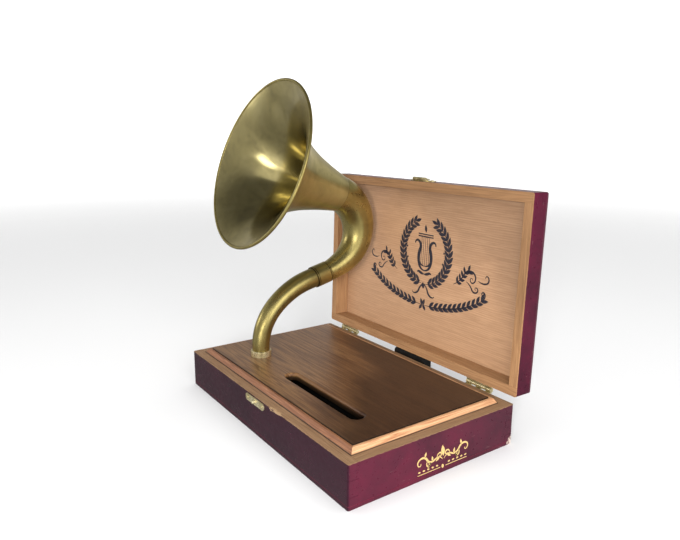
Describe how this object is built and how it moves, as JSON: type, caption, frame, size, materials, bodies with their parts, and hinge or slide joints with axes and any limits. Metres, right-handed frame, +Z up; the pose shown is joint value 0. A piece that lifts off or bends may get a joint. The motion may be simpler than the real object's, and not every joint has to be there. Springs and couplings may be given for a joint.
{
  "type": "acoustic horn speaker",
  "caption": "Hinged wooden box with a slotted board for a phone and a brass goose-neck horn that carries its sound out of a flared bell.",
  "frame": {"origin": "middle of the box's underside, on the surface it stands on", "axes": "+X to the right along the front, +Y to the hinged rear, +Z up"},
  "size_m": [0.2591, 0.1759, 0.2692],
  "materials": {
    "painted_wood": "burgundy satin paint, bare wood on the rim",
    "lid_cedar": "fine-grained veneer, printed emblem inside",
    "liner_cedar": "oiled cedar",
    "walnut": "satin lacquered walnut",
    "pine": "raw wood",
    "blackened_wood": "wood stained matt black inside the sound duct",
    "felt": "felt",
    "black_block": "matt black",
    "bright_brass": "stamped brass",
    "antique_brass": "antiqued and lacquered brass"
  },
  "bodies": {
    "base": {"bottom_panel": "painted_wood", "front_wall": "painted_wood", "rear_wall": "painted_wood", "left_wall": "painted_wood", "right_wall": "painted_wood", "liner_front": "liner_cedar", "liner_rear": "liner_cedar", "liner_left": "liner_cedar", "liner_right": "liner_cedar", "sound_board": "walnut", "duct_front_strip": "blackened_wood", "duct_rear_strip": "blackened_wood", "duct_left_end": "blackened_wood", "duct_right_end": "blackened_wood", "phone_pad": "felt", "board_glue_blocks": "pine", "neck_socket": "bright_brass", "socket_nut": "bright_brass", "lid_stop": "black_block", "lid_stop_brads": "bright_brass", "catch_plate": "bright_brass", "catch_brads": "bright_brass", "hinge_base_brads": "bright_brass", "hinge_base_leaf_left": "bright_brass", "hinge_base_leaf_right": "bright_brass", "hinge_pin_left": "bright_brass", "hinge_pin_right": "bright_brass"},
    "horn": {"neck_tube": "antique_brass", "neck_collar": "antique_brass", "horn_elbow": "antique_brass", "horn_bell": "antique_brass", "bell_rim_bead": "antique_brass"},
    "lid": {"lid_panel": "lid_cedar", "lid_rail_front": "painted_wood", "lid_rail_rear": "painted_wood", "lid_rail_left": "painted_wood", "lid_rail_right": "painted_wood", "hinge_lid_leaf_left": "bright_brass", "hinge_lid_leaf_right": "bright_brass", "hinge_lid_brads": "bright_brass", "hasp_plate": "bright_brass", "hasp_plate_brads": "bright_brass", "hasp_pin": "bright_brass"},
    "hasp": {"hasp": "bright_brass"}
  },
  "joints": [
    {"name": "lid_hinge", "type": "hinge", "parent": "base", "child": "lid", "pos_m": [0, 0.07825, 0.0328], "axis": [1, 0, 0], "range_deg": [0, 4]},
    {"name": "horn_swivel", "type": "hinge", "parent": "base", "child": "horn", "pos_m": [-0.0666, -0.0344, 0.0356], "axis": [0, 0, 1], "continuous": true},
    {"name": "hasp_swing", "type": "hinge", "parent": "lid", "child": "hasp", "pos_m": [0.0004, 0.08413, 0.1884], "axis": [1, 0, 0], "range_deg": [0, 180]}
  ]
}
